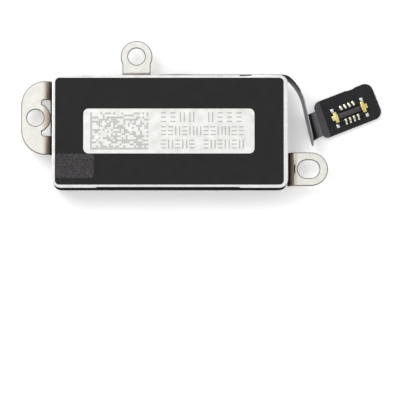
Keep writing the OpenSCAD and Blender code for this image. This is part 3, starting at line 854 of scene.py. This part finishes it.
def make_neck():
    """The folded neck that turns the strip's lower edge into the head's plane."""
    n_k, n_f = NECK_STEPS
    bm = bmesh.new()
    rows = [[bm.verts.new(neck_surface(k / n_k, f / n_f)) for f in range(n_f + 1)]
            for k in range(n_k + 1)]
    grid_faces(bm, rows, mat_of=neck_tone)
    obj = from_bm("neck_fold", bm, [MATS["neck"], MATS["neck_ridge"], MATS["flex_light"]])
    mod = obj.modifiers.new("shell", "SOLIDIFY")
    mod.thickness = T * 0.9
    mod.offset = 0
    mod.use_even_offset = True
    apply_modifiers(obj)
    shade_by_angle(obj, SHARP_ANGLE)
    start = neck_surface(0.5, 0)
    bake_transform(obj)
    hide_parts("flex_neck")


# ---------------------------------------------------------------- connector head
HEAD_CORNER_R = 0.75 * MM
ROOT_LOW_R, ROOT_HIGH_R = 0.5 * MM, 0.62 * MM
CREASE_CORNER_R = 0.06 * MM
CREASE_FROM_ROOT = 0.66 * MM
DENT_MID, DENT_HALF = 0.9 * MM, 0.45 * MM
COVERLAY_INSET, COVERLAY_T = 0.03 * MM, 0.035 * MM
STIFFENER_INSET = 0.13 * MM
FILM_DENT, STIFFENER_DENT = 0.07 * MM, 0.05 * MM
ISLAND_CENTRE = (0.06 * MM, -0.3 * MM)
ISLAND_HALF = (1.06 * MM, 0.27 * MM)
ISLAND_LOW = 0.12 * MM
ARC_STEPS = 12


def head_outline(inset, dent, left=None):
    """The head's outline, with left as the place along u of its neck end, if it is shorter."""
    l, w, r = HEAD_L / 2 - inset, HEAD_W / 2 - inset, HEAD_CORNER_R - inset
    if left is None:
        low, high, left = ROOT_LOW_R - inset, ROOT_HIGH_R - inset, -l
    else:
        low = high = CREASE_CORNER_R
    # each corner: its centre, radius, first angle and sweep in degrees
    corners = (
        (l - r, -w + r, r, -90, 90),
        (l - r, w - r, r, 0, 90),
        (left + high, w - high, high, 90, 94),
        (left - HEAD_SKEW + low, -w + low, low, 184, 86),
    )
    pts = []
    for cu, cv, r, first, sweep in corners:
        for k in range(ARC_STEPS + 1):
            a = math.radians(first + sweep * k / ARC_STEPS)
            pts.append((cu + r * math.cos(a), cv + r * math.sin(a)))
        if first == 0:
            for k in range(ARC_STEPS + 1):
                a = math.pi * k / ARC_STEPS
                pts.append((DENT_MID + DENT_HALF * math.cos(a), w - dent * math.sin(a)))
    return pts


def plate(name, outline, z0, z1, mats, bevel, edge_index):
    """A flat plate in head coordinates with rounded rims."""
    bm = bmesh.new()
    bottom = [bm.verts.new(head_point(u, v, z0)) for u, v in outline]
    top = [bm.verts.new(head_point(u, v, z1)) for u, v in outline]
    bm.faces.new(top)
    bm.faces.new(list(reversed(bottom)))
    for i in range(len(outline)):
        j = (i + 1) % len(outline)
        bm.faces.new((bottom[i], bottom[j], top[j], top[i])).material_index = edge_index
    obj = from_bm(name, bm, mats)
    round_edges(obj, bevel, 2, edge_index)
    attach(obj, HEAD)
    return obj


def island_or_body(p):
    """1 on the connector's middle island, 0 on the rest of its body."""
    u0, v0 = ISLAND_CENTRE
    local = p.center - HEAD_CENTRE - HEAD_U * u0 - HEAD_V * v0
    inside = abs(local.dot(HEAD_U)) < ISLAND_HALF[0] and abs(local.dot(HEAD_V)) < ISLAND_HALF[1]
    return 1 if inside and p.center.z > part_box("connector_housing")[0].z + ISLAND_LOW else 0


def make_head():
    """The head's film, its coverlay and stiffener, and the board connector on it."""
    z0, z1 = HEAD_BOX[0].z, HEAD_BOX[1].z
    board = plate("head_film", head_outline(0, FILM_DENT), z0, z1,
                  [MATS["flex_light"], MATS["flex"]], 0.03, 1)
    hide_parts("head_flex")
    crease = -HEAD_L / 2 + CREASE_FROM_ROOT
    plate("head_coverlay", head_outline(COVERLAY_INSET, FILM_DENT, crease), z1 - 0.01 * MM,
          z1 + COVERLAY_T, [MATS["flex"]], 0.02, 0)
    s0, s1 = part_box("head_stiffener")
    stiff = plate("stiffener_plate", head_outline(STIFFENER_INSET, STIFFENER_DENT), s0.z, s1.z,
                  [MATS["stiffener"], MATS["ear_edge_and_painted_rim"]], 0.025, 1)
    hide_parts("head_stiffener")
    softened("connector_body", "connector_housing", 0.02, [MATS["housing"], MATS["island"]], HEAD,
             face_mat=island_or_body)
    softened("contact_pins", "signal_contacts", 0.014, [MATS["contact"]], HEAD)
    softened("power_saddles", "power_contacts", 0.018, [MATS["gold"]], HEAD, 3)
    softened("solder_pads", "corner_pads", 0.022, [MATS["solder"]], HEAD, 3)


# ---------------------------------------------------------------- inside the case
COIL_BAND, COIL_INNER_R = 2 * MM, 0.5 * MM
COIL_TURNS, COIL_LAYERS = 14, 3
WIRE_SIDES, CORNER_STEPS = 6, 6
WIRE_R = COIL_BAND / COIL_TURNS / 2

SPRING_T = 0.2 * MM
SPRING_FOLD_R = 0.4 * MM
SPRING_TAB = 0.7 * MM
SPRING_STEP = 0.35 * MM
SPRING_ROUND = 0.02 * MM
FOLD_STEPS = 12


def racetrack(half_x, half_y, r):
    """A rectangle with round corners, as a closed loop of points."""
    pts = []
    for sx, sy, first in ((1, 1, 0), (-1, 1, 90), (-1, -1, 180), (1, -1, 270)):
        for k in range(CORNER_STEPS + 1):
            a = math.radians(first + 90 * k / CORNER_STEPS)
            pts.append((sx * (half_x - r) + r * math.cos(a), sy * (half_y - r) + r * math.sin(a)))
    return pts


def wire_loop(bm, track, z, height):
    """One closed loop of wire with a round section."""
    rows = []
    for i, (x, y) in enumerate(track):
        px, py = track[i - 1]
        nx, ny = track[(i + 1) % len(track)]
        side = Vector((ny - py, px - nx, 0)).normalized() * WIRE_R
        up = Vector((0, 0, height / 2))
        angles = [2 * math.pi * k / WIRE_SIDES for k in range(WIRE_SIDES)]
        rows.append([bm.verts.new(Vector((x, y, z)) + side * math.cos(a) + up * math.sin(a))
                     for a in angles])
    rows.append(rows[0])
    grid_faces(bm, rows, closed_u=True)


def make_coil(node, name):
    """Turns of enamelled wire, each a closed loop, in the CAD coil's space."""
    lo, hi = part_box(node)
    half_x, half_y = (hi.x - lo.x) / 2, (hi.y - lo.y) / 2
    layer_h = (hi.z - lo.z) / COIL_LAYERS
    bm = bmesh.new()
    for turn in range(COIL_TURNS):
        d = (turn + 0.5) * 2 * WIRE_R
        track = racetrack(half_x - d, half_y - d, COIL_INNER_R + COIL_BAND - d)
        for layer in range(COIL_LAYERS):
            wire_loop(bm, track, lo.z + (layer + 0.5) * layer_h, layer_h)
    obj = from_bm(name, bm, [MATS["copper"]])
    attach(obj, CASE)
    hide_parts(node)


def spring_path():
    """The V spring's centre line on the +X side, from the mass to the end wall."""
    lo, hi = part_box("right_spring")
    x0, x1 = lo.x + SPRING_T / 2, hi.x - SPRING_T / 2
    mid = (x0 + x1) / 2
    r = SPRING_FOLD_R
    y_tab = lo.y + SPRING_TAB
    y_fold = hi.y - SPRING_T / 2 - r
    # each leaf leaves its tab in a small curve
    curve = [(0.004 * MM * k * k, y_tab + 0.1 * MM * k) for k in range(1, 5)]
    pts = [(x0, lo.y), (x0, y_tab)]
    pts += [(x0 + dx, y) for dx, y in curve]
    angles = [math.pi * k / FOLD_STEPS for k in range(FOLD_STEPS + 1)]
    pts += [(mid - r * math.cos(a), y_fold + r * math.sin(a)) for a in angles]
    pts += [(x1 - dx, y) for dx, y in reversed(curve)]
    pts += [(x1, y_tab), (x1, lo.y)]
    return pts, lo.z, hi.z


def make_spring(name, node, turn):
    """A V-shaped leaf spring between the mass and the case."""
    pts, z0, z1 = spring_path()
    dense = []
    for (ax, ay), (bx, by) in zip(pts, pts[1:]):
        steps = max(1, round(math.hypot(bx - ax, by - ay) / SPRING_STEP))
        dense += [(ax + (bx - ax) * k / steps, ay + (by - ay) * k / steps) for k in range(steps)]
    dense.append(pts[-1])
    bm = bmesh.new()
    rows = []
    for i, (x, y) in enumerate(dense):
        px, py = dense[max(i - 1, 0)]
        nx, ny = dense[min(i + 1, len(dense) - 1)]
        side = Vector((py - ny, nx - px, 0)).normalized() * SPRING_T / 2
        c = Vector((x, y, 0))
        ring = [c + side + Vector((0, 0, z0)), c + side + Vector((0, 0, z1)),
                c - side + Vector((0, 0, z1)), c - side + Vector((0, 0, z0))]
        rows.append([bm.verts.new(p) for p in ring])
    grid_faces(bm, rows, closed_u=True)
    bm.faces.new(rows[0])
    bm.faces.new(rows[-1])
    if turn:
        half_turn = Matrix.Rotation(math.pi, 3, "Z")
        bmesh.ops.rotate(bm, verts=bm.verts, cent=(0, 0, 0), matrix=half_turn)
    obj = from_bm(name, bm, [MATS["spring"]])
    mod = obj.modifiers.new("round", "BEVEL")
    mod.width = SPRING_ROUND
    mod.segments = 2
    mod.limit_method = "ANGLE"
    mod.angle_limit = SHARP_ANGLE
    apply_modifiers(obj)
    shade_by_angle(obj, LEAF_ANGLE)
    lo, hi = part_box(node)
    y = (lo.y + hi.y) / 2
    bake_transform(obj)
    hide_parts(node)


def make_inside():
    """The coils, springs, moving mass and small parts in the case."""
    make_coil("lower_coil", "lower_winding")
    make_coil("upper_coil", "upper_winding")
    make_spring("right_leaf", "right_spring", False)
    make_spring("left_leaf", "left_spring", True)
    softened("heavy_block", "mass_frame", 0.06, [MATS["alloy"]], MASS)
    for side in ("left", "centre", "right"):
        softened(side + "_magnet_block", side + "_magnet", 0.08, [MATS["magnet"]], MASS,
                 3)
    softened("mass_clamps", "mass_spring_clamps", 0.03, [MATS["stop"]], MASS)
    softened("case_clamps", "case_spring_clamps", 0.03, [MATS["stop"]], CASE)
    softened("stop_blocks", "travel_stops", 0.05, [MATS["stop"]], CASE)
    softened("sensor_chip", "position_sensor", 0.03, [MATS["sensor"]], CASE)
    softened("joint_beads", "solder_joints", 0.04, [MATS["solder"]], CASE, 3)
    paint("internal_flex", MATS["inner_flex"])


# ---------------------------------------------------------------- scene
FLOOR_SIZE, FLOOR_CELLS = 0.6, 24
FLOOR_Z = -0.02 * MM
WORLD_STRENGTH = 0.92
KEY_PLACE = (-0.25, 0.25, 0.50)
KEY_SIZE, KEY_POWER = 0.35, 1.2


def make_floor():
    """A plain pale board under the part."""
    bm = bmesh.new()
    line = [-FLOOR_SIZE / 2 + FLOOR_SIZE * i / FLOOR_CELLS for i in range(FLOOR_CELLS + 1)]
    rows = [[bm.verts.new((x, y, FLOOR_Z)) for y in line] for x in line]
    grid_faces(bm, rows)
    obj = from_bm("floor", bm, [floor_white()])


def make_key():
    """One large soft lamp, up and to the north-west."""
    data = bpy.data.lights.new("key", "AREA")
    data.shape = "DISK"
    data.size = KEY_SIZE
    data.energy = KEY_POWER
    obj = bpy.data.objects.new("key", data)
    bpy.context.scene.collection.objects.link(obj)
    obj.location = KEY_PLACE
    obj.rotation_mode = "QUATERNION"
    obj.rotation_quaternion = (-Vector(KEY_PLACE)).to_track_quat("-Z", "Y")


def make_light():
    """Even white surroundings, the key lamp, and plain colour handling."""
    world = bpy.data.worlds.new("studio")
    bpy.context.scene.world = world
    world.use_nodes = True
    back = world.node_tree.nodes["Background"]
    back.inputs["Color"].default_value = (1.0, 1.0, 1.0, 1)
    back.inputs["Strength"].default_value = WORLD_STRENGTH
    make_key()
    scene = bpy.context.scene
    scene.view_settings.view_transform = "Standard"
    scene.view_settings.look = "None"
    scene.view_settings.exposure = 0.0
    scene.view_settings.gamma = 1.0


make_camera()
make_case()
make_ears()
make_patch()
make_marks()
make_sealant()
make_tail()
make_neck()
make_head()
make_inside()
make_floor()
make_light()
